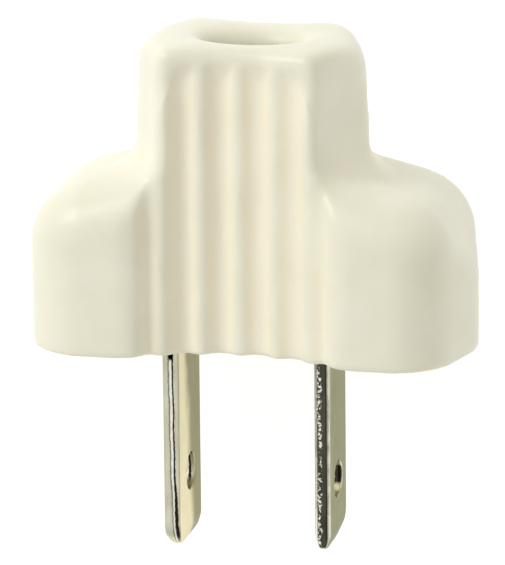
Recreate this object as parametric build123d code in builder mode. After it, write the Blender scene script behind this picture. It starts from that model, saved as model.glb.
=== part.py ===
from build123d import *
from math import cos, radians, sin, sqrt, tan
import os

# A replaceable two-blade polarized plug for flat lamp cord.
# A one-piece moulded housing slides over a core that carries two folded blades.
# X runs across the blades, Y from the blade tips to the cord entry, Z from back to front.
# The plug lies on its back. Lengths are in millimetres, angles in degrees.

# Lengths along the plug, measured from the blade face of the housing
body_height = 26.2
blade_length = 17.9
face_y = (blade_length - body_height) / 2
top_y = face_y + body_height

# Wings: the wide base of the housing
wing_half_width = 19.15
wing_half_depth = 8.6
wing_corner_setback = 2.35
wing_corner_radius = 5.2
wing_end_radius = 5.0
wing_corner_x = wing_half_width - wing_corner_setback
mid_z = wing_half_depth

# Shoulders: the sloping tops of the wings
shoulder_height = 17.0
shoulder_slope = 13.7
shoulder_peak_half = 3.0
shoulder_drop_setback = 5.35
shoulder_drop_radius = 5.6
shoulder_drop_turn = 56.0
shoulder_rim_flat = 4.4

# Neck: the narrow part that the cord comes out of
neck_half_width = 9.98
neck_front_half_width = 5.9
neck_setback = 0.6
neck_end_radius = 2.2
neck_taper = 0.6
neck_top_half = 6.9
neck_top_radius = 2.9
neck_top_turn = 75.0
neck_rim_radius = 0.9
neck_foot_radius = 3.2

# Thumb hollow down the middle of both broad sides, sunk below the neck's face and a little below the wings'
hollow_half_width = 8.4
hollow_sink = 2.1
hollow_side_sink = 0.2
hollow_lean = 1.0
hollow_edge_slope = 0.3
crest_radius = 1.0

# Flutes in the thumb hollow: soft waves for grip, with a narrower one at each side
flute_pitch = 3.11
flute_count = 4
flute_flank = 40.0
flute_crest_radius = 0.8
flute_root_radius = 1.2
outer_root_radius = 0.8
flute_crest_sink = 0.04
flute_top = 25.2
flute_run_out = 17.0
flute_lead_out = 0.3

# Cord entry: an oval throat with a rolled mouth
throat_half_width = 4.1
throat_half_depth = 2.4
mouth_setback = 4.5

# Inside of the housing
wall = 1.6
hollow_wall = 1.3
shoulder_wall = 2.6
neck_cavity_half_width = 6.2
neck_cavity_half_depth = 3.4
neck_cavity_corner = 1.5
top_wall = 4.0

# Core: the insert that carries the blades and takes the cord end
sliding_clearance = 0.2
rib_thickness = 1.3
core_top_gap = 3.8
core_lead_in = 0.5
cord_channel_half_width = 3.7
cord_channel_half_depth = 2.15
cord_channel_corner = 0.8
cord_stop = 3.6

# Blades, each folded from one strip: the wide one's seam is at the front, the narrow one's at the back
blade_spacing = 12.7
line_blade_setback = 0.6
blade_layer = 0.7
seam = 0.06
neutral_width = 7.94
line_width = 6.35
blade_edge_radius = 0.25
fold_roundness = 0.9
blade_hole_diameter = 3.2
blade_hole_height = 11.9
blade_root = 9.0
blade_fit = 0.05
blade_ear = 0.4
blade_ear_height = 0.9
tip_open_radius = 2.8
tip_fold_radius = 0.5
tip_bevel = 0.4
tip_bevel_length = 1.2
notch_width = 1.0
notch_height = 1.6
notch_depth = 0.9
notch_rise = 0.6

# Piercing prongs on the inner faces of the blades
prong_reach = 4.2
prong_low = 5.2
prong_height = 2.4

shoulder_drop_x = wing_half_width - shoulder_drop_setback
shoulder_rim_radius = wing_half_depth - shoulder_rim_flat
core_height = shoulder_height - core_top_gap
neck_half_depth = wing_half_depth - neck_setback
hollow_half_depth = neck_half_depth - hollow_sink
hollow_side_depth = wing_half_depth - hollow_side_sink
mouth_radius = hollow_half_depth - mouth_setback
blade_thickness = 2 * blade_layer + seam
blade_inner_x = (blade_spacing - blade_thickness) / 2
core_half_width = (blade_spacing + blade_thickness) / 2
crest_lift = flute_crest_radius * (1 / cos(radians(flute_flank)) - 1) - flute_crest_sink
root_lift = flute_root_radius * (1 / cos(radians(flute_flank)) - 1)
flute_depth = flute_pitch / 2 * tan(radians(flute_flank)) - crest_lift - root_lift

same = 0.01
up = (0, 1, 0)
leaning_up = (0, cos(radians(hollow_lean)), -sin(radians(hollow_lean)))
os.makedirs("parts", exist_ok=True)


def section_at(height):
    """Plane across the plug at a height above the blade face; x and y run along X and Z from its axis."""
    return Plane(origin=(0, face_y + height, mid_z), x_dir=(1, 0, 0), z_dir=(0, -1, 0))


def hollow_depth_at(x):
    """Distance of the thumb hollow's surface from the middle plane, at the blade face."""
    rise = hollow_side_depth - hollow_half_depth
    radius = (hollow_half_width**2 + rise**2) / (2 * rise)
    return hollow_half_depth + radius - sqrt(radius**2 - x**2)


def six_sided(front_x, front_y, side_x):
    """Six-sided section with its widest line at mid depth."""
    with BuildSketch() as section:
        with BuildLine():
            Polyline((0, front_y), (front_x, front_y), (side_x, 0), (front_x, -front_y), (0, -front_y))
            mirror(about=Plane.YZ)
        make_face()
    return section.sketch


def shoulder_roof(inset):
    """Front view of the sloping shoulders, an inset below their outside."""
    peak_radius = shoulder_peak_half / sin(radians(shoulder_slope))
    with BuildSketch() as roof:
        with BuildLine():
            centre = (0, face_y + shoulder_height - peak_radius)
            peak = CenterArc(centre, peak_radius - inset, 90, -shoulder_slope)
            slope_length = (shoulder_drop_x - shoulder_peak_half) / cos(radians(shoulder_slope))
            slope = Line(peak @ 1, (peak @ 1) + (peak % 1) * slope_length)
            drop = JernArc(slope @ 1, slope % 1, shoulder_drop_radius - inset, -shoulder_drop_turn)
            end = Line(drop @ 1, (drop @ 1) + (drop % 1) * ((drop @ 1).Y - face_y) / -(drop % 1).Y)
            Line(end @ 1, (0, face_y))
            mirror(about=Plane.YZ)
        make_face()
    return roof.sketch


def inner_section(gap):
    """Section inside the wings and behind the thumb hollow, shrunk by a gap on all sides."""
    skin = flute_depth + hollow_wall + gap
    side = (hollow_half_width, hollow_side_depth - skin)
    with BuildSketch() as section:
        add(six_sided(wing_corner_x, wing_half_depth, wing_half_width))
        offset(amount=-(wall + gap), kind=Kind.INTERSECTION)
        with BuildSketch(mode=Mode.SUBTRACT):
            with BuildLine():
                ThreePointArc((-side[0], side[1]), (0, hollow_half_depth - skin), side)
                Polyline(side, (side[0], wing_half_width), (-side[0], wing_half_width), (-side[0], side[1]))
            make_face()
            mirror(about=Plane.XZ)
    return section.sketch


def show(name, part):
    """Print one finished piece."""
    print(name, "volume", round(part.volume, 1), "faces", len(part.faces()), "valid", part.is_valid)


# Wings: a prism with slanted ends, cut to sloping shoulders and rolled over at the rim
with BuildPart() as wings:
    with BuildSketch(section_at(0)):
        add(six_sided(wing_corner_x, wing_half_depth, wing_half_width))
    extrude(amount=shoulder_height, dir=up)
    ends = wings.edges().filter_by(Axis.Y).filter_by(lambda edge: abs(edge.center().Z - mid_z) < same)
    fillet(ends, wing_end_radius)
    corners = wings.edges().filter_by(Axis.Y)
    corners = corners.filter_by(lambda edge: abs(edge.center().Z - mid_z) > wing_half_depth - same)
    fillet(corners, wing_corner_radius)
    add(shoulder_roof(0))
    extrude(amount=2 * wing_half_depth, mode=Mode.INTERSECT)
    rim = wings.edges().filter_by(lambda edge: edge.center().Y > face_y + same)
    rim = rim.filter_by(Axis.Y, reverse=True)
    rim = rim.filter_by(lambda edge: edge.geom_type != GeomType.LINE or abs(edge.center().Z - mid_z) > same)
    fillet(rim, shoulder_rim_radius)
show("wings", wings.part)

# Neck: a six-sided column with round shoulders of its own at the top
with BuildPart() as neck:
    with BuildSketch(section_at(body_height)):
        add(six_sided(neck_front_half_width, neck_half_depth, neck_half_width))
    extrude(amount=body_height - wall, taper=-neck_taper)
    ends = neck.edges().filter_by(lambda edge: abs(edge.center().Z - mid_z) < same)
    fillet(ends, neck_end_radius)
    with BuildSketch():
        with BuildLine():
            flat = Line((0, top_y), (neck_top_half, top_y))
            drop = JernArc(flat @ 1, flat % 1, neck_top_radius, -neck_top_turn)
            end = Line(drop @ 1, (drop @ 1) + (drop % 1) * neck_half_depth)
            Polyline(end @ 1, ((end @ 1).X, face_y), (0, face_y))
            mirror(about=Plane.YZ)
        make_face()
    extrude(amount=2 * wing_half_depth, mode=Mode.INTERSECT)
show("neck", neck.part)

# Thumb hollow: what is cut away from the front and the back
with BuildPart() as thumb_hollow:
    with BuildSketch(section_at(0)):
        with BuildLine():
            side = (hollow_half_width, hollow_side_depth)
            edge_rise = hollow_edge_slope * (wing_half_width - hollow_half_width)
            far = (wing_half_width, hollow_side_depth + edge_rise)
            ThreePointArc((-side[0], side[1]), (0, hollow_half_depth), side)
            Polyline(side, far, (far[0], wing_half_width), (0, wing_half_width))
            Polyline((-side[0], side[1]), (-far[0], far[1]), (-far[0], wing_half_width), (0, wing_half_width))
        make_face()
    extrude(amount=body_height + wall, dir=leaning_up)
    mirror(about=Plane.XY.offset(mid_z))

# Flutes: a row of soft waves up the hollow, which fade out under the rim of the neck
with BuildPart() as flutes:
    with BuildSketch(section_at(0)) as waves:
        with BuildLine():
            half = flute_pitch * flute_count / 2
            crests = [i * flute_pitch - half for i in range(flute_count + 1)]
            crests = [-hollow_half_width] + crests + [hollow_half_width]
            outline = [(crests[0], hollow_depth_at(crests[0]) + crest_lift)]
            for left, right in zip(crests, crests[1:]):
                level = (hollow_depth_at(left) + hollow_depth_at(right)) / 2
                fall = (right - left) / 2 * tan(radians(flute_flank))
                outline.append(((left + right) / 2, level + crest_lift - fall))
                outline.append((right, hollow_depth_at(right) + crest_lift))
            far_depth = outline[-1][1] + edge_rise
            Polyline([(-wing_half_width, far_depth)] + outline + [(wing_half_width, far_depth)])
            Polyline((wing_half_width, far_depth), (wing_half_width, wing_half_width), (0, wing_half_width))
            Polyline((-wing_half_width, far_depth), (-wing_half_width, wing_half_width), (0, wing_half_width))
        make_face()
        tips = waves.vertices().filter_by(lambda v: abs(v.X) < hollow_half_width + same)
        roots = tips.filter_by(lambda v: min(abs(v.X - x) for x in crests) > same)
        outer_roots = roots.filter_by(lambda v: abs(v.X) > half)
        inner_roots = roots.filter_by(lambda v: abs(v.X) < half)
        fillet(inner_roots, flute_root_radius)
        fillet(outer_roots, outer_root_radius)
        tops = waves.vertices().filter_by(lambda v: min(abs(v.X - x) for x in crests) < same)
        fillet(tops, flute_crest_radius)
    cutter_top = flute_top + flute_lead_out / tan(radians(flute_run_out))
    top_shift = cutter_top * tan(radians(hollow_lean)) - flute_lead_out
    extrude(amount=cutter_top, dir=leaning_up)
    with BuildSketch(section_at(cutter_top)):
        with BuildLine():
            bowl = ThreePointArc(
                (-hollow_half_width, hollow_side_depth - top_shift),
                (0, hollow_half_depth - top_shift),
                (hollow_half_width, hollow_side_depth - top_shift),
            )
            Polyline(bowl @ 1, (wing_half_width, hollow_side_depth), (wing_half_width, wing_half_width))
            Polyline((wing_half_width, wing_half_width), (-wing_half_width, wing_half_width))
            Polyline((-wing_half_width, wing_half_width), (-wing_half_width, hollow_side_depth), bowl @ 0)
        make_face()
    run_out = (0, -cos(radians(flute_run_out)), -sin(radians(flute_run_out)))
    extrude(amount=cutter_top / cos(radians(flute_run_out)), dir=run_out, mode=Mode.INTERSECT)
    mirror(about=Plane.XY.offset(mid_z))
show("flutes", flutes.part)

# Pocket for the core, with the cord's passage through the neck above it
with BuildPart() as core_pocket:
    with BuildSketch(section_at(0)):
        add(inner_section(0))
        Rectangle(2 * (core_half_width + sliding_clearance), 2 * wing_half_depth, mode=Mode.INTERSECT)
    extrude(amount=shoulder_height, dir=up)
    add(shoulder_roof(wall))
    extrude(amount=2 * wing_half_depth, mode=Mode.INTERSECT)
    with BuildSketch(section_at(body_height - top_wall)):
        RectangleRounded(2 * neck_cavity_half_width, 2 * neck_cavity_half_depth, neck_cavity_corner)
    extrude(amount=body_height - top_wall - core_height)
show("core_pocket", core_pocket.part)

# Cored-out space in each wing, which keeps the walls thin so that they cool without sinking
with BuildPart() as wing_pockets:
    with BuildSketch(section_at(0)):
        add(inner_section(0))
        rib_side = core_half_width + sliding_clearance + rib_thickness
        Rectangle(2 * rib_side, 2 * wing_half_depth, mode=Mode.SUBTRACT)
    extrude(amount=shoulder_height, dir=up)
    add(shoulder_roof(shoulder_wall))
    extrude(amount=2 * wing_half_depth, mode=Mode.INTERSECT)
show("wing_pockets", wing_pockets.part)

# Housing: one moulding, open at the blade face and pierced by the cord throat
with BuildPart() as housing:
    add(wings.part)
    add(neck.part)
    foot = housing.edges(Select.NEW).filter_by(lambda edge: abs(edge.center().X) > neck_front_half_width)
    fillet(foot, neck_foot_radius)
    add(thumb_hollow.part, mode=Mode.SUBTRACT)
    crests = housing.edges(Select.NEW).filter_by(
        lambda edge: neck_front_half_width < abs(edge.center().X) < hollow_half_width - crest_radius
    )
    crests = crests.filter_by(lambda edge: edge.center().Y > face_y + shoulder_height - wall - crest_radius)
    crests = crests.filter_by(lambda edge: edge.center().Y < top_y - crest_radius)
    fillet(crests, crest_radius)
    top = housing.edges().filter_by(lambda edge: edge.center().Y > top_y - neck_top_radius / 2)
    top = top.filter_by(lambda edge: edge.geom_type != GeomType.LINE or abs(edge.center().Z - mid_z) > same)
    fillet(top, neck_rim_radius)
    show("outside", housing.part)
    add(flutes.part, mode=Mode.SUBTRACT)
    show("fluted", housing.part)
    with BuildSketch(section_at(body_height)):
        Ellipse(throat_half_width, throat_half_depth)
    extrude(amount=top_wall + wall, mode=Mode.SUBTRACT)
    mouth = housing.edges().filter_by(GeomType.ELLIPSE)
    mouth = mouth.filter_by(lambda edge: abs(edge.center().Y - top_y) < same)
    fillet(mouth, mouth_radius)
    show("mouth", housing.part)
    add(core_pocket.part, mode=Mode.SUBTRACT)
    add(wing_pockets.part, mode=Mode.SUBTRACT)
show("housing", housing.part)

# Core: a waisted block with a side channel for each blade and a blind channel for the cord end
with BuildPart() as core:
    with BuildSketch(section_at(0)):
        add(inner_section(sliding_clearance))
        Rectangle(2 * core_half_width, 2 * wing_half_depth, mode=Mode.INTERSECT)
    extrude(amount=core_height, dir=up)
    lead_in = core.faces().sort_by(Axis.Y)[-1].edges()
    chamfer(lead_in, core_lead_in)
    with BuildSketch(section_at(core_height)):
        RectangleRounded(2 * cord_channel_half_width, 2 * cord_channel_half_depth, cord_channel_corner)
    extrude(amount=core_height - cord_stop, mode=Mode.SUBTRACT)
    for side, width in ((-1, neutral_width), (1, line_width)):
        with BuildSketch(section_at(0)):
            with Locations((side * core_half_width, 0)):
                Rectangle(2 * blade_thickness + 2 * blade_fit, width + 2 * blade_fit)
        extrude(amount=blade_root + blade_fit, dir=up, mode=Mode.SUBTRACT)
        with BuildSketch(section_at(blade_root - blade_ear_height - blade_fit)):
            with Locations((side * core_half_width, 0)):
                Rectangle(2 * blade_thickness + 2 * blade_fit, width + 2 * blade_ear + 2 * blade_fit)
        extrude(amount=blade_ear_height + 2 * blade_fit, dir=up, mode=Mode.SUBTRACT)
        with BuildSketch(section_at(prong_low - blade_fit)):
            with Locations((side * blade_inner_x, 0)):
                Rectangle(2 * (blade_inner_x - cord_channel_half_width), blade_layer + 2 * blade_fit)
        extrude(amount=prong_height + 2 * blade_fit, dir=up, mode=Mode.SUBTRACT)
show("core", core.part)


def folded_blade(side, width, length, seam_at_front):
    """One blade: a strip doubled over lengthwise, its seam along one narrow edge."""
    centre_x = side * blade_spacing / 2
    root_y, tip_y = face_y + blade_root, face_y - length
    seam_side = 1 if seam_at_front else -1
    half = blade_thickness / 2
    with BuildPart() as blade:
        with BuildSketch(section_at(blade_root)):
            with Locations((centre_x, 0)):
                Rectangle(blade_thickness, width)
        extrude(amount=blade_root + length)
        along = blade.edges().filter_by(Axis.Y).group_by(Axis.Z)[::seam_side]
        fillet(along[0], blade_layer * fold_roundness)
        fillet(along[-1], blade_edge_radius)
        with BuildSketch(Plane.YZ):
            with Locations(((root_y + tip_y) / 2, mid_z)):
                Rectangle(root_y - tip_y, width)
            corners = vertices().group_by(Axis.X)[0].sort_by(Axis.Y)[::seam_side]
            fillet(corners[-1], tip_open_radius)
            corners = vertices().group_by(Axis.X)[0].sort_by(Axis.Y)[::seam_side]
            fillet(corners[0], tip_fold_radius)
        extrude(amount=wing_half_width, both=True, mode=Mode.INTERSECT)
        with BuildSketch():
            with BuildLine():
                Polyline(
                    (centre_x - half, root_y),
                    (centre_x - half, tip_y + tip_bevel_length),
                    (centre_x - half + tip_bevel, tip_y),
                    (centre_x + half - tip_bevel, tip_y),
                    (centre_x + half, tip_y + tip_bevel_length),
                    (centre_x + half, root_y),
                    close=True,
                )
            make_face()
        extrude(amount=2 * wing_half_depth, mode=Mode.INTERSECT)
        with BuildSketch(section_at(blade_root)):
            with Locations((centre_x, 0)):
                Rectangle(blade_thickness, width + 2 * blade_ear)
        extrude(amount=blade_ear_height)
        with BuildSketch(section_at(blade_root)):
            with Locations((centre_x, seam_side * (width / 2 + blade_ear))):
                Rectangle(seam, 2 * (width + blade_ear - blade_layer))
        extrude(amount=blade_root + length, mode=Mode.SUBTRACT)
        with BuildSketch(Plane.YZ):
            with Locations((face_y - blade_hole_height, mid_z)):
                Circle(blade_hole_diameter / 2)
        extrude(amount=wing_half_width, both=True, mode=Mode.SUBTRACT)
        if seam_at_front:
            with BuildSketch(Plane.XY.offset(mid_z + width / 2)):
                with BuildLine():
                    Polyline(
                        (centre_x - notch_width / 2, face_y + notch_rise),
                        (centre_x, face_y - notch_height),
                        (centre_x + notch_width / 2, face_y + notch_rise),
                        close=True,
                    )
                make_face()
            extrude(amount=-notch_depth, mode=Mode.SUBTRACT)
        with BuildSketch(Plane.XY.offset(mid_z)):
            with BuildLine():
                Polyline(
                    (side * blade_inner_x, face_y + prong_low),
                    (side * blade_inner_x, face_y + prong_low + prong_height),
                    (side * (blade_inner_x - prong_reach), face_y + prong_low + prong_height / 2),
                    close=True,
                )
            make_face()
        extrude(amount=blade_layer / 2, both=True)
    return blade.part


neutral_blade = folded_blade(-1, neutral_width, blade_length, seam_at_front=True)
line_blade = folded_blade(1, line_width, blade_length - line_blade_setback, seam_at_front=False)
show("neutral_blade", neutral_blade)
show("line_blade", line_blade)

housing.part.label = "housing"
core.part.label = "core"
neutral_blade.label = "neutral_blade"
line_blade.label = "line_blade"
export_step(housing.part, "parts/housing.step")
export_step(core.part, "parts/core.step")
export_step(neutral_blade, "parts/neutral_blade.step")
export_step(line_blade, "parts/line_blade.step")
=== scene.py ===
# %% [markdown]
# A polarized lamp plug, dressed for its portrait.
# The solid model fixes where every piece is. This lesson gives the pieces their finish: ivory moulded plastic
# with soft edges, and two blades folded from plated brass strip.
# Work on a small part like this is done in metres all the same, so one value turns millimetres into metres.

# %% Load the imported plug
import bpy
from math import cos, radians, sin
from mathutils import Matrix, Vector


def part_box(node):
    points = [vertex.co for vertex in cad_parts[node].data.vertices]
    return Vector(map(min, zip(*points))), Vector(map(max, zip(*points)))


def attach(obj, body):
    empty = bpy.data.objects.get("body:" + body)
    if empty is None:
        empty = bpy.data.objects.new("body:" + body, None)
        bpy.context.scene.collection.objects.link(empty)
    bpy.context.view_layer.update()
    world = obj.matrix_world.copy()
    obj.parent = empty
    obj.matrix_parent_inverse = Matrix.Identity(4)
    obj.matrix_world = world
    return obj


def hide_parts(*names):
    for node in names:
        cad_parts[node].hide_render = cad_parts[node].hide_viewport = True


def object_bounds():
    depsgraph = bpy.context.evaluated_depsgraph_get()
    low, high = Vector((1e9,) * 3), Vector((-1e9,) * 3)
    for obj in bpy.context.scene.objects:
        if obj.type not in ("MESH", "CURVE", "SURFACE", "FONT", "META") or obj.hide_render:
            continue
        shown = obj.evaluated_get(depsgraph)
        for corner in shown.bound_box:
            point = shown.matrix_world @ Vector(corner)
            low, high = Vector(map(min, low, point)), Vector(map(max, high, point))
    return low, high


MM = 0.001
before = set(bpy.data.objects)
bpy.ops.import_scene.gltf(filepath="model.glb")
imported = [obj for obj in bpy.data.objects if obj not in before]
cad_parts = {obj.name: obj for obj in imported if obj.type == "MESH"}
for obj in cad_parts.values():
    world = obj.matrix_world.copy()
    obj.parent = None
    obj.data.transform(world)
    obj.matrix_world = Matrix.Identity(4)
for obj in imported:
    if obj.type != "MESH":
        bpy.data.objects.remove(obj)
cad_low, cad_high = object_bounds()
MID_Z = (cad_low[2] + cad_high[2]) / 2
BLADE_FACE_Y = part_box("core")[0][1]
print("plug measures", [round((high - low) / MM, 2) for low, high in zip(cad_low, cad_high)], "mm")

# %% [markdown]
# The plug lies on its back, so the camera hangs over it and looks down at the front.
# A portrait like this could be framed by eye, but two angles and a distance are easier to check and change.
# The lens is long and far off, as for a product portrait, which keeps the two blades nearly parallel.

# %% Work out where the camera hangs
SIDE_TURN = radians(13.0)
UPWARD_TURN = radians(16.1)
CAMERA_DISTANCE = 534.6 * MM

view_right = Vector((cos(SIDE_TURN), 0, -sin(SIDE_TURN)))
lean = sin(UPWARD_TURN)
view_up = Vector((-sin(SIDE_TURN) * lean, cos(UPWARD_TURN), -cos(SIDE_TURN) * lean))
view_back = view_right.cross(view_up)
blade_face = Vector((0, BLADE_FACE_Y, MID_Z))
camera_place = blade_face + view_back * CAMERA_DISTANCE
print("camera hangs at", [round(value / MM) for value in camera_place], "mm")

# %% [markdown]
# The camera is turned so that a point a little above the blade face sits in the middle of the frame.
# It is also rolled by about half a degree, because nobody lays a plug down perfectly square.

# %% Hang the camera
CAMERA_ROLL = radians(0.586)
LENS_MM = 407.4
FILM_WIDTH_MM = 36
NEAREST_SEEN = 10 * MM
AIM_RIGHT = -0.16 * MM
AIM_UP = 4.64 * MM

aim = blade_face + view_right * AIM_RIGHT + view_up * AIM_UP
back = (camera_place - aim).normalized()
level_right = view_up.cross(back).normalized()
level_up = back.cross(level_right)
rolled_right = level_right * cos(CAMERA_ROLL) - level_up * sin(CAMERA_ROLL)
rolled_up = level_up * cos(CAMERA_ROLL) + level_right * sin(CAMERA_ROLL)

bpy.ops.object.camera_add(location=camera_place)
camera = bpy.context.object
camera.name = "camera"
camera.rotation_euler = Matrix((rolled_right, rolled_up, back)).transposed().to_euler()
camera.data.lens = LENS_MM
camera.data.sensor_width = FILM_WIDTH_MM
camera.data.clip_start = NEAREST_SEEN
bpy.context.scene.camera = camera
print("lens", LENS_MM, "mm")

# %% [markdown]
# The plug lies on a light table: a white sheet lit from behind, the usual way to lose a small shadow.
# A curved paper backdrop would do too, but the camera looks almost straight down and would never see its
# curve. So one plane is enough, and a light of its own does the work of the lamp under the sheet.

# %% Lay the white sheet
SHEET_SIDE = 3.0
SHEET_COLOUR = (0.35, 0.35, 0.35, 1)
SHEET_ROUGHNESS = 0.9
SHEET_GLOW = 0.8
WHITE = (1, 1, 1, 1)

bpy.ops.mesh.primitive_plane_add(size=SHEET_SIDE)
sheet = bpy.context.object
sheet.name = "white_sheet"
sheet_finish = bpy.data.materials.new("white_sheet")
sheet_finish.use_nodes = True
sheet_shader = sheet_finish.node_tree.nodes["Principled BSDF"]
sheet_shader.inputs["Base Color"].default_value = SHEET_COLOUR
sheet_shader.inputs["Roughness"].default_value = SHEET_ROUGHNESS
sheet_shader.inputs["Emission Color"].default_value = WHITE
sheet_shader.inputs["Emission Strength"].default_value = SHEET_GLOW
sheet.data.materials.append(sheet_finish)
print("sheet", SHEET_SIDE, "m wide")

# %% [markdown]
# The room is a white tent, brightest overhead and to the left, so that the plug has a light and a dim side.
# The world shader sees each direction as a point on a ball around the scene. How far that point lies towards
# the bright side sets the strength, and the dim side is a little warmer, as bounced light is.
# The mix node keeps a set of sockets for each kind of value, so its colour sockets are found by place.

# %% Stretch the white tent
BRIGHT_SIDE = Vector((-0.24, -0.02, 0.95)).normalized()
DARKEST_TURN = -1
TENT_BRIGHT = 0.94
TENT_DIM = 0.12
TENT_WARM = (1.0, 0.97, 0.88, 1)
COLOUR_A, COLOUR_B, COLOUR_OUT = 6, 7, 2

world = bpy.data.worlds.new("white_tent")
bpy.context.scene.world = world
world.use_nodes = True
tent_nodes, tent_links = world.node_tree.nodes, world.node_tree.links
direction = tent_nodes.new("ShaderNodeTexCoord")
toward_bright = tent_nodes.new("ShaderNodeVectorMath")
toward_bright.operation = "DOT_PRODUCT"
toward_bright.inputs[1].default_value = BRIGHT_SIDE
slope = tent_nodes.new("ShaderNodeMapRange")
slope.inputs["From Min"].default_value = DARKEST_TURN
slope.inputs["To Min"].default_value = TENT_DIM
slope.inputs["To Max"].default_value = TENT_BRIGHT
warmth = tent_nodes.new("ShaderNodeMix")
warmth.data_type = "RGBA"
warmth.inputs[COLOUR_A].default_value = TENT_WARM
warmth.inputs[COLOUR_B].default_value = WHITE
tent_links.new(direction.outputs["Generated"], toward_bright.inputs[0])
tent_links.new(toward_bright.outputs["Value"], slope.inputs["Value"])
tent_links.new(toward_bright.outputs["Value"], warmth.inputs["Factor"])
tent_links.new(slope.outputs["Result"], tent_nodes["Background"].inputs["Strength"])
tent_links.new(warmth.outputs[COLOUR_OUT], tent_nodes["Background"].inputs["Color"])
print("tent from", TENT_DIM, "to", TENT_BRIGHT)

# %% [markdown]
# One soft box stands up to the left of the plug, near enough to wrap its light around the rims and far enough
# to leave no hard shadow. A sun lamp would be simpler, but it would draw a sharp line under every flute.

# %% Place the soft box
SOFT_BOX_PLACE = (-0.62, 0.56, 0.5)
SOFT_BOX_SIDE = 0.3
SOFT_BOX_POWER = 3.5

bpy.ops.object.light_add(type="AREA", location=SOFT_BOX_PLACE)
soft_box = bpy.context.object
soft_box.name = "soft_box"
soft_box.data.size = SOFT_BOX_SIDE
soft_box.data.energy = SOFT_BOX_POWER
soft_box.rotation_euler = (Vector(SOFT_BOX_PLACE) - blade_face).to_track_quat("Z", "Y").to_euler()
bpy.context.scene.view_settings.view_transform = "Standard"
print("soft box of", SOFT_BOX_POWER, "W")

# %% [markdown]
# The finishes share a few effects, and each effect is a node group: built once, then placed in every
# material that needs it with that material's own values. The first helper makes an empty group with named
# sockets. The others add what many groups need: a sum, and the place of each point on the piece.

# %% Helpers for node groups
def new_group(name, inputs, outputs):
    """Make an empty shader group. Inputs are names with a starting value, outputs are names."""
    group = bpy.data.node_groups.new(name, "ShaderNodeTree")
    for label, value in inputs.items():
        socket = group.interface.new_socket(name=label, in_out="INPUT", socket_type="NodeSocketFloat")
        socket.default_value = value
    for label in outputs:
        group.interface.new_socket(name=label, in_out="OUTPUT", socket_type="NodeSocketFloat")
    entry = group.nodes.new("NodeGroupInput")
    exit_node = group.nodes.new("NodeGroupOutput")
    print("group", name, "gives", ", ".join(outputs))
    return group, entry, exit_node


def math_node(tree, operation, first, second, clamp=False):
    """Add a math node. Each operand is a number or a socket."""
    node = tree.nodes.new("ShaderNodeMath")
    node.operation = operation
    node.use_clamp = clamp
    for socket, operand in zip(node.inputs, (first, second)):
        if isinstance(operand, (int, float)):
            socket.default_value = operand
        else:
            tree.links.new(operand, socket)
    return node.outputs["Value"]


def own_place(tree):
    """The place of each point in the piece's own X, Y and Z."""
    place = tree.nodes.new("ShaderNodeTexCoord")
    parts = tree.nodes.new("ShaderNodeSeparateXYZ")
    tree.links.new(place.outputs["Object"], parts.inputs["Vector"])
    return parts


# %% [markdown]
# Rubbed edges. Where a surface turns sharply, its normal differs from the normal of the same place with the
# edge rounded off. The bevel node gives that rounded normal, so the two together make a mask of the edges.
# It works on any mesh, dense or coarse, which painting by hand or the pointiness value does not.

# %% Group: rubbed edges
EDGE_GAIN = 9.0
EDGE_SAMPLES = 6

rubbed_edges, entry, exit_node = new_group("rubbed_edges", {"Radius": 0.2 * MM}, ["Edge"])
rounded = rubbed_edges.nodes.new("ShaderNodeBevel")
rounded.samples = EDGE_SAMPLES
surface = rubbed_edges.nodes.new("ShaderNodeNewGeometry")
agreement = rubbed_edges.nodes.new("ShaderNodeVectorMath")
agreement.operation = "DOT_PRODUCT"
rubbed_edges.links.new(entry.outputs["Radius"], rounded.inputs["Radius"])
rubbed_edges.links.new(rounded.outputs["Normal"], agreement.inputs[0])
rubbed_edges.links.new(surface.outputs["Normal"], agreement.inputs[1])
turn = math_node(rubbed_edges, "SUBTRACT", 1, agreement.outputs["Value"])
edge = math_node(rubbed_edges, "MULTIPLY", turn, EDGE_GAIN, clamp=True)
rubbed_edges.links.new(edge, exit_node.inputs["Edge"])

# %% [markdown]
# Crevices. The finishes paint light and shade into their crevices: warm bounced light in the ivory's
# grooves, shade in the core's grooves and the blades'. The ambient occlusion node looks around from each
# place and says how much of the sky is shut out, which is what a crevice is.

# %% Group: crevices
CREVICE_SAMPLES = 8

crevices, entry, exit_node = new_group("crevices", {"Reach": 1 * MM}, ["Crevice"])
sky = crevices.nodes.new("ShaderNodeAmbientOcclusion")
sky.samples = CREVICE_SAMPLES
crevices.links.new(entry.outputs["Reach"], sky.inputs["Distance"])
shut_out = math_node(crevices, "SUBTRACT", 1, sky.outputs["AO"])
crevices.links.new(shut_out, exit_node.inputs["Crevice"])

# %% [markdown]
# Specks. Dust in the moulding pellets and handling leave tiny dots, few and uneven. A cell texture drops one
# point in each cell, and only what lies within a short reach of the point is speck.
# Each cell also has a random colour, which here decides whether its speck shows at all.

# %% Group: specks
SPECK_VALUES = {"Cell": 2.4 * MM, "Size": 0.06 * MM, "Share": 0.4}

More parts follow.
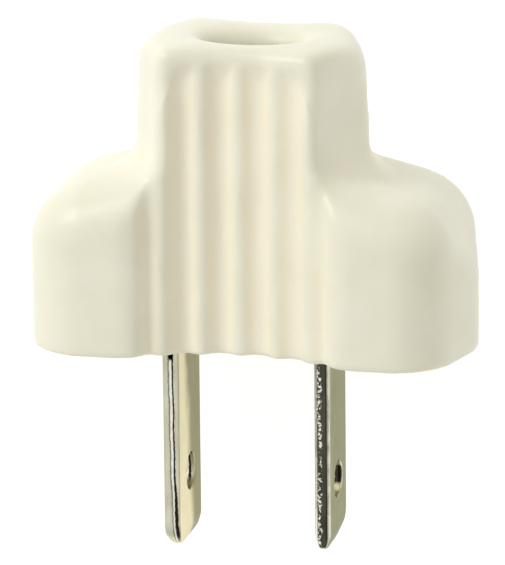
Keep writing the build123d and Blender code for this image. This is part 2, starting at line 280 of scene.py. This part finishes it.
specks, entry, exit_node = new_group("specks", SPECK_VALUES, ["Speck"])
place = specks.nodes.new("ShaderNodeTexCoord")
grid = specks.nodes.new("ShaderNodeVectorMath")
grid.operation = "SCALE"
cells = specks.nodes.new("ShaderNodeTexVoronoi")
cells.inputs["Scale"].default_value = 1
chance = specks.nodes.new("ShaderNodeSeparateColor")
specks.links.new(place.outputs["Object"], grid.inputs[0])
specks.links.new(math_node(specks, "DIVIDE", 1, entry.outputs["Cell"]), grid.inputs["Scale"])
specks.links.new(grid.outputs["Vector"], cells.inputs["Vector"])
specks.links.new(cells.outputs["Color"], chance.inputs["Color"])
reach = math_node(specks, "DIVIDE", entry.outputs["Size"], entry.outputs["Cell"])
dot = math_node(specks, "LESS_THAN", cells.outputs["Distance"], reach)
shows = math_node(specks, "LESS_THAN", chance.outputs["Red"], entry.outputs["Share"])
specks.links.new(math_node(specks, "MULTIPLY", dot, shows), exit_node.inputs["Speck"])

# %% [markdown]
# Clouding. No moulded or plated surface is one even colour: thickness, flow and handling shift it a little.
# Soft noise gives the shift, and its size is a named input, so plastic and metal can each have their own.

# %% Group: clouding
clouding, entry, exit_node = new_group("clouding", {"Size": 4 * MM, "Detail": 3.0}, ["Cloud"])
place = clouding.nodes.new("ShaderNodeTexCoord")
noise = clouding.nodes.new("ShaderNodeTexNoise")
clouding.links.new(place.outputs["Object"], noise.inputs["Vector"])
clouding.links.new(math_node(clouding, "DIVIDE", 1, entry.outputs["Size"]), noise.inputs["Scale"])
clouding.links.new(entry.outputs["Detail"], noise.inputs["Detail"])
clouding.links.new(noise.outputs["Fac"], exit_node.inputs["Cloud"])

# %% [markdown]
# Rolling lines. Brass strip comes off the rolls with fine lines along its length, which on a blade is Y.
# The same noise gives them once its space is stretched: one line width across is many line widths along.

# %% Group: rolling lines
LINE_VALUES = {"Width": 0.08 * MM, "Stretch": 60.0}
LINE_DETAIL = 4

rolling_lines, entry, exit_node = new_group("rolling_lines", LINE_VALUES, ["Line"])
where = own_place(rolling_lines)
squeezed = rolling_lines.nodes.new("ShaderNodeCombineXYZ")
lines = rolling_lines.nodes.new("ShaderNodeTexNoise")
lines.inputs["Detail"].default_value = LINE_DETAIL
rolling_lines.links.new(where.outputs["X"], squeezed.inputs["X"])
rolling_lines.links.new(where.outputs["Z"], squeezed.inputs["Z"])
short_y = math_node(rolling_lines, "DIVIDE", where.outputs["Y"], entry.outputs["Stretch"])
rolling_lines.links.new(short_y, squeezed.inputs["Y"])
rolling_lines.links.new(squeezed.outputs["Vector"], lines.inputs["Vector"])
fineness = math_node(rolling_lines, "DIVIDE", 1, entry.outputs["Width"])
rolling_lines.links.new(fineness, lines.inputs["Scale"])
rolling_lines.links.new(lines.outputs["Fac"], exit_node.inputs["Line"])

# %% [markdown]
# A finish mixes its colours with masks from the groups. These helpers place a group with its values, mix two
# colours by a mask, spread a mask over a range, and feed a height into the bump node that tilts the normal.

# %% Helpers for the finishes
def place_group(tree, group, **values):
    """Put a group into a material with its own values."""
    node = tree.nodes.new("ShaderNodeGroup")
    node.node_tree = group
    for label, value in values.items():
        node.inputs[label].default_value = value
    return node


def mix_colour(tree, mask, first, second):
    """Mix two colours by a mask. Each colour is three numbers or a socket."""
    node = tree.nodes.new("ShaderNodeMix")
    node.data_type = "RGBA"
    tree.links.new(mask, node.inputs["Factor"])
    for socket, colour in ((node.inputs[COLOUR_A], first), (node.inputs[COLOUR_B], second)):
        if isinstance(colour, tuple):
            socket.default_value = (*colour, 1)
        else:
            tree.links.new(colour, socket)
    return node.outputs[COLOUR_OUT]


def spread(tree, value, low, high, to_low=0.0, to_high=1.0):
    """Spread a value over a new range and stop it at the ends."""
    node = tree.nodes.new("ShaderNodeMapRange")
    tree.links.new(value, node.inputs["Value"])
    for label, number in (("From Min", low), ("From Max", high), ("To Min", to_low), ("To Max", to_high)):
        node.inputs[label].default_value = number
    return node.outputs["Result"]


def bump(tree, height, distance, strength, under=None):
    """Tilt the normal by a height. Under is a bump that lies below this one."""
    node = tree.nodes.new("ShaderNodeBump")
    node.inputs["Distance"].default_value = distance
    node.inputs["Strength"].default_value = strength
    tree.links.new(height, node.inputs["Height"])
    if under:
        tree.links.new(under, node.inputs["Normal"])
    return node.outputs["Normal"]


def new_finish(name):
    """Make an empty material and return it with its tree and shader."""
    finish = bpy.data.materials.new(name)
    finish.use_nodes = True
    tree = finish.node_tree
    return finish, tree, tree.nodes["Principled BSDF"]


# %% [markdown]
# The colour of moulded plastic. A plain colour looks like paint, so this one has warm clouds where the flow
# met, grooves with painted light and shade (warm bounced light in the ivory, shade in the core), and rare
# specks.

# %% Colour of the plastic
PLASTIC_CLOUD = (0.35, 0.65)
GROOVE_REACH = 2.5 * MM
GROOVE_RANGE = (0.02, 0.2)
SPECK_COLOUR = (0.42, 0.36, 0.26)
SPECK_STRENGTH = 0.5


def plastic_colour(tree, tints):
    """Clouded colour with painted light and shade in the grooves and a few specks."""
    cloud = place_group(tree, clouding, Size=5 * MM, Detail=2.0).outputs["Cloud"]
    colour = mix_colour(tree, spread(tree, cloud, *PLASTIC_CLOUD), tints["pale"], tints["warm"])
    # Painted light in the grooves: the ivory's tint is warm bounced light, the core's is shade.
    groove = place_group(tree, crevices, Reach=GROOVE_REACH).outputs["Crevice"]
    colour = mix_colour(tree, spread(tree, groove, *GROOVE_RANGE), colour, tints["groove"])
    speck = place_group(tree, specks, Cell=3.1 * MM, Size=0.05 * MM, Share=0.35).outputs["Speck"]
    return mix_colour(tree, math_node(tree, "MULTIPLY", speck, SPECK_STRENGTH), colour, SPECK_COLOUR)


# %% [markdown]
# Ivory plastic. The real housing is urea or a like thermoset: creamy, a little see-through at the skin,
# with a satin gloss from the mould. Two bumps make the skin: a faint orange peel and a fine grain above it.
# Some light goes in and comes out nearby, red farthest, which takes the hardness out of the shadows.
# The core never leaves the mould polished, so it is duller and a shade darker than the housing.

# %% Finish: moulded plastic
PEEL_HEIGHT = 0.02 * MM
PEEL_STRENGTH = 0.35
GRAIN_HEIGHT = 0.004 * MM
GRAIN_STRENGTH = 0.3
GRAIN_RANGE = (0.3, 0.7)
SMOOTHER, ROUGHER = 0.04, 0.05
INNER_LIGHT = 0.3
INNER_LIGHT_REACH = (1.0, 0.8, 0.5)
INNER_LIGHT_DEPTH = 0.9 * MM


def moulded_plastic(name, tints, roughness):
    """Moulded plastic: clouded, a little see-through, with a faint orange peel."""
    finish, tree, shader = new_finish(name)
    tree.links.new(plastic_colour(tree, tints), shader.inputs["Base Color"])
    peel = place_group(tree, clouding, Size=0.9 * MM, Detail=1.0).outputs["Cloud"]
    grain = place_group(tree, clouding, Size=0.12 * MM, Detail=2.0).outputs["Cloud"]
    satin = spread(tree, grain, *GRAIN_RANGE, roughness - SMOOTHER, roughness + ROUGHER)
    tree.links.new(satin, shader.inputs["Roughness"])
    skin = bump(tree, peel, PEEL_HEIGHT, PEEL_STRENGTH)
    tree.links.new(bump(tree, grain, GRAIN_HEIGHT, GRAIN_STRENGTH, under=skin), shader.inputs["Normal"])
    shader.inputs["Subsurface Weight"].default_value = INNER_LIGHT
    shader.inputs["Subsurface Radius"].default_value = INNER_LIGHT_REACH
    shader.inputs["Subsurface Scale"].default_value = INNER_LIGHT_DEPTH
    print("finish", name, "with", len(tree.nodes), "nodes")
    return finish


# The groove tints are painted light: warm bounced light in the ivory, shade in the core.
IVORY_TINTS = {"pale": (0.79, 0.774, 0.645), "warm": (0.755, 0.737, 0.6), "groove": (0.93, 0.85, 0.655)}
CORE_TINTS = {"pale": (0.72, 0.69, 0.56), "warm": (0.68, 0.65, 0.52), "groove": (0.6, 0.55, 0.41)}
IVORY_ROUGHNESS = 0.4
CORE_ROUGHNESS = 0.5

ivory = moulded_plastic("ivory_plastic", IVORY_TINTS, IVORY_ROUGHNESS)
core_ivory = moulded_plastic("core_plastic", CORE_TINTS, CORE_ROUGHNESS)

# %% [markdown]
# The marks on the blades are lines and bands, and a mask for one of these is a distance from a middle.
# These helpers measure that distance, make a middle wander softly, and keep what two masks share.

# %% Helpers for lines and bands
NOISE_MIDDLE = 0.5


def away_from(tree, value, middle):
    """How far a value lies from a middle, on either side."""
    return math_node(tree, "ABSOLUTE", math_node(tree, "SUBTRACT", value, middle), 0)


def wander(tree, size, detail, amount):
    """A soft random shift to either side."""
    cloud = place_group(tree, clouding, Size=size, Detail=detail).outputs["Cloud"]
    return math_node(tree, "MULTIPLY", math_node(tree, "SUBTRACT", cloud, NOISE_MIDDLE), amount)


def both(tree, first, second):
    """What two masks share."""
    return math_node(tree, "MULTIPLY", first, second)


# %% [markdown]
# The seam. Sheared strip meets itself in a line that wanders, and gapes a little towards the tip. The shade
# in the gap is painted as a dark line. Beside it runs a lip with a painted highlight, and beside the lip a
# fine scratch. The line is drawn by how far a place lies from a wandering middle, so it needs no image and
# stays sharp at any size.

# %% Group: seam line
GAPE_START = 10 * MM
GAPE_END = 15 * MM
SEAM_SLOW_WANDER = 0.22 * MM
SEAM_FAST_WANDER = 0.12 * MM
SEAM_HALF = 0.07 * MM
SEAM_GAPE = 0.09 * MM
SEAM_DRIFT = 0.2 * MM
SEAM_FADE = (1.25, 0.7)
LIP_AWAY = 0.19 * MM
LIP_HALF = 0.1 * MM
SCRATCH_AWAY = 0.36 * MM
SCRATCH_FADE = (0.07 * MM, 0.03 * MM)
SCRATCH_STRENGTH = (0.0, 0.65)

seam_line, entry, exit_node = new_group("seam_line", {"Middle": 0.0}, ["Dark", "Lip_Highlight"])
where = own_place(seam_line)
gape = spread(seam_line, where.outputs["Y"], BLADE_FACE_Y - GAPE_START, BLADE_FACE_Y - GAPE_END)
away = math_node(seam_line, "SUBTRACT", where.outputs["X"], entry.outputs["Middle"])
slow = wander(seam_line, size=3 * MM, detail=0.0, amount=SEAM_SLOW_WANDER)
fast = wander(seam_line, size=0.35 * MM, detail=1.0, amount=SEAM_FAST_WANDER)
drift = math_node(seam_line, "MULTIPLY", gape, SEAM_DRIFT)
for shift in (slow, fast, drift):
    away = math_node(seam_line, "SUBTRACT", away, shift)
half = math_node(seam_line, "ADD", math_node(seam_line, "MULTIPLY", gape, SEAM_GAPE), SEAM_HALF)
reach = math_node(seam_line, "DIVIDE", away_from(seam_line, away, 0), half)
scratch = spread(seam_line, away_from(seam_line, away, -SCRATCH_AWAY), *SCRATCH_FADE, *SCRATCH_STRENGTH)
# Dark is the painted shade of the seam's gap together with the scratch; the lip gets a painted highlight.
dark = math_node(seam_line, "MAXIMUM", spread(seam_line, reach, *SEAM_FADE), scratch)
lip_highlight = spread(seam_line, away_from(seam_line, away, -LIP_AWAY), LIP_HALF, LIP_HALF / 2)
seam_line.links.new(dark, exit_node.inputs["Dark"])
seam_line.links.new(lip_highlight, exit_node.inputs["Lip_Highlight"])

# %% [markdown]
# The glints are painted highlights: bright spots in a rough chain along the folded edge, where bending
# cracked the plating. Soft noise cut off high leaves spots, and a band around a middle keeps them in a
# chain.

# %% Group: glint chain
CHAIN_HALF = 0.2 * MM
CHAIN_WANDER = 0.5 * MM
GLINT_SPOT_SIZE = 0.22 * MM
GLINT_SPOT_CUT = (0.5, 0.6)

glint_chain, entry, exit_node = new_group("glint_chain", {"Middle": 0.0}, ["Glint"])
where = own_place(glint_chain)
away = math_node(glint_chain, "SUBTRACT", where.outputs["X"], entry.outputs["Middle"])
shift = wander(glint_chain, size=0.8 * MM, detail=0.0, amount=CHAIN_WANDER)
away = away_from(glint_chain, away, shift)
glint_spots = place_group(glint_chain, clouding, Size=GLINT_SPOT_SIZE, Detail=1.0).outputs["Cloud"]
glint_spots = spread(glint_chain, glint_spots, *GLINT_SPOT_CUT)
glint = both(glint_chain, glint_spots, spread(glint_chain, away, CHAIN_HALF, CHAIN_HALF / 2))
glint_chain.links.new(glint, exit_node.inputs["Glint"])

# %% [markdown]
# The broad sides of a blade. The plating is pale in front and painted darker at the back as a dark
# reflection, and the border between the two is cloudy and lies farther back near the tip. The wall of the
# hole has a painted colour of its own, a golden reflection in the narrow blade and shade in the wide one: it
# is the surface that doesn't face sideways and lies near the middle of the blade.

# %% Colours of the broad sides
FADE_WANDER = 2.4 * MM
FADE_SLOPE = 0.15
FADE_START = 4.1 * MM
FADE_END = 2.3 * MM
FACING_IN = (0.6, 0.35)
HOLE_REACH = 2.1 * MM
HOLE_FADE = 0.9


def own_facing(tree):
    """Which way the surface faces, in the piece's own X, Y and Z."""
    surface = tree.nodes.new("ShaderNodeNewGeometry")
    own_normal = tree.nodes.new("ShaderNodeVectorTransform")
    own_normal.vector_type = "NORMAL"
    own_normal.convert_from = "WORLD"
    own_normal.convert_to = "OBJECT"
    parts = tree.nodes.new("ShaderNodeSeparateXYZ")
    tree.links.new(surface.outputs["Normal"], own_normal.inputs["Vector"])
    tree.links.new(own_normal.outputs["Vector"], parts.inputs["Vector"])
    return parts


def broad_sides(tree, tints, cloud, uneven, where):
    """Pale plating in front, painted darker at the back as a dark reflection."""
    colour = mix_colour(tree, uneven, tints["side_pale"], tints["side_dull"])
    from_face = math_node(tree, "SUBTRACT", BLADE_FACE_Y, where.outputs["Y"])
    fade_z = math_node(tree, "ADD", where.outputs["Z"], math_node(tree, "MULTIPLY", cloud, FADE_WANDER))
    fade_z = math_node(tree, "ADD", fade_z, math_node(tree, "MULTIPLY", from_face, FADE_SLOPE))
    # Painted dark reflection towards the back of the sides.
    dark_reflection = spread(tree, fade_z, MID_Z + FADE_START, MID_Z + FADE_END)
    return mix_colour(tree, dark_reflection, colour, tints["side_dark_reflection"])


def hole_wall(tree, facing, where):
    """Mask of the wall of the hole."""
    inward = spread(tree, away_from(tree, facing.outputs["X"], 0), *FACING_IN)
    off_middle = away_from(tree, where.outputs["Z"], MID_Z)
    return both(tree, inward, spread(tree, off_middle, HOLE_REACH, HOLE_REACH * HOLE_FADE))


# %% [markdown]
# The narrow edges. One holds the seam, and the other is the fold, painted darkest as a dark reflection.
# Each is found by the surface normal, because only the narrow edges face up or down. The seam gets its dark
# line of painted shade and the painted highlight on its lip. The fold gets a dark border and painted glints,
# as strong as each blade needs, and its corners get a painted highlight.

# %% Colours of the narrow edges
EDGE_FACING = (0.35, 0.8)
SEAM_OFF_MIDDLE = 0.2 * MM
BORDER_OFF_MIDDLE = 0.43 * MM
BORDER_HALF = 0.14 * MM
CHAIN_OFF_MIDDLE = -0.22 * MM
CORNER_TURN = 0.68
CORNER_FADE = (0.22, 0.08)
# Cloud range and strength make the painted corner highlight uneven.
HIGHLIGHT_CLOUD = (0.3, 0.5)
HIGHLIGHT_STRENGTH = (0.45, 1.0)


def seam_edge(tree, tints, colour, uneven, up_fold, middle):
    """Lay the seam's colours over the edge opposite the fold: painted shade and a lip highlight."""
    on_edge = spread(tree, up_fold, *(-turn for turn in EDGE_FACING))
    plain = mix_colour(tree, uneven, tints["seam_pale"], tints["seam_dull"])
    colour = mix_colour(tree, on_edge, colour, plain)
    seam = place_group(tree, seam_line, Middle=middle + SEAM_OFF_MIDDLE)
    colour = mix_colour(tree, both(tree, seam.outputs["Lip_Highlight"], on_edge), colour, tints["lip_highlight"])
    return mix_colour(tree, both(tree, seam.outputs["Dark"], on_edge), colour, tints["shade_and_marks"])


def folded_edge(tree, tints, colour, uneven, up_fold, middle, where, glints):
    """Paint the fold's dark reflection over its edge. Glints is how strongly its border and glints show."""
    on_edge = spread(tree, up_fold, *EDGE_FACING)
    # The fold's dark tints are a painted dark reflection.
    plain = mix_colour(tree, uneven, tints["fold_pale"], tints["fold_dull"])
    colour = mix_colour(tree, on_edge, colour, plain)
    shown = math_node(tree, "MULTIPLY", on_edge, glints)
    across = away_from(tree, where.outputs["X"], middle + BORDER_OFF_MIDDLE)
    border = spread(tree, across, BORDER_HALF, BORDER_HALF / 2)
    colour = mix_colour(tree, both(tree, border, shown), colour, tints["shade_and_marks"])
    # Painted glints along the fold.
    chain = place_group(tree, glint_chain, Middle=middle + CHAIN_OFF_MIDDLE).outputs["Glint"]
    return mix_colour(tree, both(tree, chain, shown), colour, tints["glint"])


def corner_highlights(tree, tints, colour, cloud, up_fold):
    """Paint a highlight on the corners of the fold, stronger in some places than in others."""
    on_corner = spread(tree, away_from(tree, up_fold, CORNER_TURN), *CORNER_FADE)
    uneven_highlight = spread(tree, cloud, *HIGHLIGHT_CLOUD, *HIGHLIGHT_STRENGTH)
    # The corner tint is a painted highlight.
    return mix_colour(tree, both(tree, on_corner, uneven_highlight), colour, tints["corner"])


# %% [markdown]
# Plated brass. A thin plating over yellow brass: rolled lines run along the strip and the plating is cloudy.
# Each blade gets its own tints, the narrow blade's sides painted darker and greyer as shade, and the colours
# of its sides and edges are laid over each other in turn. Painted shade fills the crevices last, but not the
# hole, whose wall keeps its own painted colour.
# Metal is white where light grazes it, and this plating less so, which the shader's specular tint says.

# %% Finish: plated brass
CLOUD_SHARE, LINE_SHARE = 0.6, 0.4
UNEVEN_RANGE = (0.38, 0.62)
# Reach and range of the painted shade that darkens the blades' crevices.
CREVICE_SHADE_REACH = 0.5 * MM
CREVICE_SHADE_RANGE = (0.12, 0.34)
LINE_RANGE = (0.3, 0.7)
ROLLED_ROUGHNESS = (0.28, 0.44)
POLISH_RADIUS = 0.14 * MM
POLISH = 0.1
LINE_HEIGHT = 0.006 * MM
LINE_STRENGTH = 0.5
DENT_HEIGHT = 0.03 * MM
DENT_STRENGTH = 0.35


def rolled_surface(tree, shader, cloud, line):
    """Roughness and bumps of rolled strip, smoother at its edges."""
    edge = place_group(tree, rubbed_edges, Radius=POLISH_RADIUS).outputs["Edge"]
    grain = spread(tree, line, *LINE_RANGE, *ROLLED_ROUGHNESS)
    gloss = math_node(tree, "SUBTRACT", grain, math_node(tree, "MULTIPLY", edge, POLISH))
    tree.links.new(gloss, shader.inputs["Roughness"])
    rolled = bump(tree, line, LINE_HEIGHT, LINE_STRENGTH)
    tree.links.new(bump(tree, cloud, DENT_HEIGHT, DENT_STRENGTH, under=rolled), shader.inputs["Normal"])
    shader.inputs["Metallic"].default_value = 1


def plated_strip(name, fold_side, middle, tints, glints, grazing):
    """Plated strip. Fold_side is 1 where the fold faces up, middle is the blade's X."""
    finish, tree, shader = new_finish(name)
    cloud = place_group(tree, clouding, Size=2.2 * MM, Detail=4.0).outputs["Cloud"]
    line = place_group(tree, rolling_lines).outputs["Line"]
    cloud_part = math_node(tree, "MULTIPLY", cloud, CLOUD_SHARE)
    line_part = math_node(tree, "MULTIPLY", line, LINE_SHARE)
    uneven = spread(tree, math_node(tree, "ADD", cloud_part, line_part), *UNEVEN_RANGE)
    where = own_place(tree)
    facing = own_facing(tree)
    up_fold = math_node(tree, "MULTIPLY", facing.outputs["Z"], fold_side)
    in_hole = hole_wall(tree, facing, where)

    colour = broad_sides(tree, tints, cloud, uneven, where)
    # The hole wall's tint is painted: a golden reflection in the narrow blade, shade in the wide one.
    colour = mix_colour(tree, in_hole, colour, tints["hole"])
    colour = seam_edge(tree, tints, colour, uneven, up_fold, middle)
    colour = folded_edge(tree, tints, colour, uneven, up_fold, middle, where, glints)
    colour = corner_highlights(tree, tints, colour, cloud, up_fold)
    # Painted shade darkens the crevices, though not the hole wall.
    crevice = place_group(tree, crevices, Reach=CREVICE_SHADE_REACH).outputs["Crevice"]
    crevice_shade = math_node(tree, "SUBTRACT", spread(tree, crevice, *CREVICE_SHADE_RANGE), in_hole, clamp=True)
    colour = mix_colour(tree, crevice_shade, colour, tints["shade_and_marks"])
    tree.links.new(colour, shader.inputs["Base Color"])
    rolled_surface(tree, shader, cloud, line)
    shader.inputs["Specular Tint"].default_value = (*grazing, 1)
    print("finish", name, "with", len(tree.nodes), "nodes")
    return finish


# %% [markdown]
# The wide blade kept most of its plating, has its seam to the front, and shows no glints on its hidden fold.
# The narrow blade is turned the other way round: its fold is to the front, painted nearly black as a dark
# reflection, with painted highlights on its corners.

# %% Two aged blades
BLADE_SPACING = 12.7 * MM
WIDE_TINTS = {
    "side_pale": (0.96, 0.88, 0.61), "side_dull": (0.86, 0.79, 0.52), "side_dark_reflection": (0.3, 0.285, 0.15),
    "seam_pale": (0.72, 0.71, 0.56), "seam_dull": (0.58, 0.57, 0.44), "lip_highlight": (0.95, 0.94, 0.85),
    "fold_pale": (0.5, 0.48, 0.36), "fold_dull": (0.4, 0.39, 0.28), "corner": (0.9, 0.82, 0.56),
    "glint": (0.9, 0.88, 0.8), "hole": (0.42, 0.37, 0.2), "shade_and_marks": (0.02, 0.018, 0.012),
}
WIDE_GLINTS = 0.0
WIDE_GRAZING = (0.78, 0.76, 0.7)
# The narrow blade's sides are painted darker and greyer as shade, its fold near black as a dark reflection.
NARROW_TINTS = {
    "side_pale": (0.44, 0.44, 0.29), "side_dull": (0.33, 0.33, 0.22), "side_dark_reflection": (0.4, 0.4, 0.26),
    "seam_pale": (0.5, 0.49, 0.38), "seam_dull": (0.4, 0.39, 0.3), "lip_highlight": (0.8, 0.78, 0.68),
    "fold_pale": (0.085, 0.085, 0.06), "fold_dull": (0.05, 0.05, 0.035), "corner": (1.0, 0.97, 0.84),
    "glint": (0.95, 0.94, 0.88), "hole": (0.95, 0.84, 0.52), "shade_and_marks": (0.01, 0.009, 0.007),
}
NARROW_GLINTS = 0.95
NARROW_GRAZING = (0.6, 0.6, 0.52)

wide_brass = plated_strip("wide_blade_brass", fold_side=-1, middle=-BLADE_SPACING / 2,
                          tints=WIDE_TINTS, glints=WIDE_GLINTS, grazing=WIDE_GRAZING)
narrow_brass = plated_strip("narrow_blade_brass", fold_side=1, middle=BLADE_SPACING / 2,
                            tints=NARROW_TINTS, glints=NARROW_GLINTS, grazing=NARROW_GRAZING)

# %% [markdown]
# The moulded pieces start from their solids. A solid's mesh is long thin triangles with dead sharp edges,
# which shade badly, and a bevel modifier stumbles over them. Turning the shape into small even cells and
# easing them gives what a mould gives: every edge a little round, and a surface that catches light smoothly.

# %% Helpers for the pieces
MERGE_REACH = 0.001 * MM
EASE_STEP = 0.5


def copied_solid(node, name):
    """A copy of a solid's mesh with its loose triangles merged."""
    piece = bpy.data.objects.new(name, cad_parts[node].data.copy())
    bpy.context.collection.objects.link(piece)
    bpy.ops.object.select_all(action="DESELECT")
    piece.select_set(True)
    bpy.context.view_layer.objects.active = piece
    bpy.ops.object.mode_set(mode="EDIT")
    bpy.ops.mesh.select_all(action="SELECT")
    bpy.ops.mesh.remove_doubles(threshold=MERGE_REACH)
    bpy.ops.object.mode_set(mode="OBJECT")
    return piece


def even_cells(piece, size):
    """Rebuild a piece's surface in even cells."""
    cells = piece.modifiers.new("even_cells", "REMESH")
    cells.mode = "VOXEL"
    cells.voxel_size = size
    bpy.context.view_layer.objects.active = piece
    bpy.ops.object.modifier_apply(modifier=cells.name)


def ease(piece, name, times, zone=""):
    """Ease the points of a piece, or of one zone of it, towards their neighbours."""
    easing = piece.modifiers.new(name, "SMOOTH")
    easing.factor = EASE_STEP
    easing.iterations = times
    easing.vertex_group = zone
    bpy.context.view_layer.objects.active = piece
    bpy.ops.object.modifier_apply(modifier=easing.name)


def finish_piece(piece, finish, node, body):
    """Dress a piece, let it stand for its solid and ride with its body."""
    piece.data.materials.clear()
    piece.data.materials.append(finish)
    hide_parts(node)
    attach(piece, body)
    print(piece.name, "has", len(piece.data.vertices), "points and", len(piece.data.polygons), "faces")


# %% [markdown]
# The housing takes coarser cells and more easing than the core, because a mould's polish wears its outside.

# %% Moulded pieces
HOUSING_CELL = 0.25 * MM
HOUSING_EASING = 8
CORE_CELL = 0.2 * MM
CORE_EASING = 2


def moulded_piece(node, name, cell, times):
    """A solid with its edges softened: even cells, eased a few times."""
    piece = copied_solid(node, name)
    even_cells(piece, cell)
    ease(piece, "ease", times)
    bpy.ops.object.shade_smooth()
    return piece


ivory_housing = moulded_piece("housing", "ivory_housing", HOUSING_CELL, HOUSING_EASING)
wire_core = moulded_piece("core", "wire_core", CORE_CELL, CORE_EASING)
finish_piece(wire_core, core_ivory, "core", "core_body")

# %% [markdown]
# Some places are softer than the rest. A vertex group holds how much each point takes part, and the smooth
# modifier reads it. The weight comes from a function of the point's place, so a zone can have any shape.

# %% A helper for softer zones
def ease_zone(piece, name, times, weight_at):
    """Ease one zone. Weight_at gives 0 to 1 from x, the height over the blade face, and the depth."""
    zone = piece.vertex_groups.new(name=name)
    for point in piece.data.vertices:
        weight = weight_at(point.co.x, point.co.y - BLADE_FACE_Y, point.co.z - MID_Z)
        if weight > 0:
            zone.add([point.index], min(weight, 1), "REPLACE")
    ease(piece, name, times, name)
    print(piece.name, "eased at", name, times, "times")


# %% [markdown]
# The rim of the neck is the softest edge of the moulding: it rolls from the cord's mouth over to the sides.
# Its zone starts above the ends of the flutes, and lower down at the corners, where the roll is widest.

# %% Roll the rim of the neck
RIM_START = 24.7 * MM
RIM_FADE = 0.8 * MM
RIM_EASING = 110
CORNER_DROP = 5.0 * MM
CORNER_X = 4.6 * MM
CORNER_SPREAD = 2.4 * MM


def rim_weight(x, height, depth):
    """How much the rim of the neck is eased at a point."""
    corner = min(max((abs(x) - CORNER_X) / CORNER_SPREAD, 0), 1)
    return (height - RIM_START + CORNER_DROP * corner) / RIM_FADE


ease_zone(ivory_housing, "neck_rim", RIM_EASING, rim_weight)

# %% [markdown]
# The outermost flutes are weaker than the middle ones, and run softly into the wings and the neck's sides.
# Only the outer skin is eased there, because the ribs inside the housing are thin and have to stay crisp.

# %% Soften the outer flutes
OUTER_FLUTE_X = 8.0 * MM
OUTER_FLUTE_HALF = 2.1 * MM
OUTER_FLUTE_GAIN = 2
OUTER_FLUTE_EASING = 16
SKIN_DEPTH = 4.6 * MM


def outer_flute_weight(x, height, depth):
    """How much the skin is eased beside the middle flutes."""
    beside = 1 - abs(abs(x) - OUTER_FLUTE_X) / OUTER_FLUTE_HALF
    return beside * OUTER_FLUTE_GAIN if abs(depth) > SKIN_DEPTH else 0


ease_zone(ivory_housing, "outer_flutes", OUTER_FLUTE_EASING, outer_flute_weight)
finish_piece(ivory_housing, ivory, "housing", "housing_body")

# %% [markdown]
# Each blade is one strip doubled over, so its two layers meet in a seam along one narrow edge. Sheared strip
# has round lips, and they part a little unevenly. A square bar laid along the seam on its corner, its points
# pushed about at random, cuts such a groove with a boolean, and the finish draws its dark line of painted
# shade close beside it. The line alone would be quicker, but it would stay flat.

# %% Cut the seam
BLADE_THICKNESS = 1.46 * MM
BLADE_EAR = 0.4 * MM
BAR_SIDES = 4
GROOVE_HALF = 0.15 * MM
GROOVE_STEPS = 70
GROOVE_WANDER = 0.045 * MM
GROOVE_SEED = 5


def uneven_bar(place, length):
    """A square bar along Y, standing on its corner, with its long edges uneven."""
    bpy.ops.mesh.primitive_cylinder_add(vertices=BAR_SIDES, radius=GROOVE_HALF, depth=length,
                                        location=place, rotation=(radians(90), 0, 0))
    bar = bpy.context.object
    bpy.ops.object.mode_set(mode="EDIT")
    bpy.ops.mesh.select_mode(type="EDGE")
    bpy.ops.mesh.select_all(action="DESELECT")
    bpy.ops.object.mode_set(mode="OBJECT")
    for line in bar.data.edges:
        first, second = (bar.data.vertices[index].co for index in line.vertices)
        line.select = (first - second).length > length / 2
    bpy.ops.object.mode_set(mode="EDIT")
    bpy.ops.mesh.subdivide(number_cuts=GROOVE_STEPS)
    bpy.ops.mesh.select_all(action="SELECT")
    bpy.ops.transform.vertex_random(offset=GROOVE_WANDER, seed=GROOVE_SEED)
    bpy.ops.object.mode_set(mode="OBJECT")
    return bar


def open_seam(piece, node, seam_side):
    """Cut an uneven groove along the seam of a blade."""
    low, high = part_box(node)
    outward = 1 if high[0] > 0 else -1
    centre_x = (low[0] + high[0] + (high[0] - low[0] - BLADE_THICKNESS) * outward) / 2
    seam_z = MID_Z + seam_side * (high[2] - low[2] - 2 * BLADE_EAR) / 2
    bar = uneven_bar((centre_x, (low[1] + high[1]) / 2, seam_z), high[1] - low[1])
    cut = piece.modifiers.new("seam", "BOOLEAN")
    cut.operation = "DIFFERENCE"
    cut.object = bar
    bpy.context.view_layer.objects.active = piece
    bpy.ops.object.modifier_apply(modifier=cut.name)
    bpy.data.objects.remove(bar)
    print(piece.name, "seam at", round(centre_x / MM, 2), round(seam_z / MM, 2), "mm")


# %% [markdown]
# Stamping, folding and plating leave no sharp edge on a blade, and its tip is rounded to find its slot.
# Fine cells and a little easing round every edge, and a zone of more easing rounds the tip.

# %% Folded blades
BLADE_CELL = 0.1 * MM
EDGE_EASING = 3
TIP_EASING = 25
TIP_ZONE = 1.5 * MM
TIP_FADE = 0.6 * MM


def folded_strip(node, name, seam_side):
    """A blade with an open seam, round edges and a round tip."""
    piece = copied_solid(node, name)
    open_seam(piece, node, seam_side)
    even_cells(piece, BLADE_CELL)
    ease_zone(piece, "edges", EDGE_EASING, lambda x, height, depth: 1)
    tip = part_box(node)[0][1] - BLADE_FACE_Y
    ease_zone(piece, "tip", TIP_EASING, lambda x, height, depth: (tip + TIP_ZONE - height) / TIP_FADE)
    piece.select_set(True)
    bpy.ops.object.shade_smooth()
    return piece


wide_blade = folded_strip("neutral_blade", "wide_blade", seam_side=1)
finish_piece(wide_blade, wide_brass, "neutral_blade", "core_body")
narrow_blade = folded_strip("line_blade", "narrow_blade", seam_side=-1)
finish_piece(narrow_blade, narrow_brass, "line_blade", "core_body")
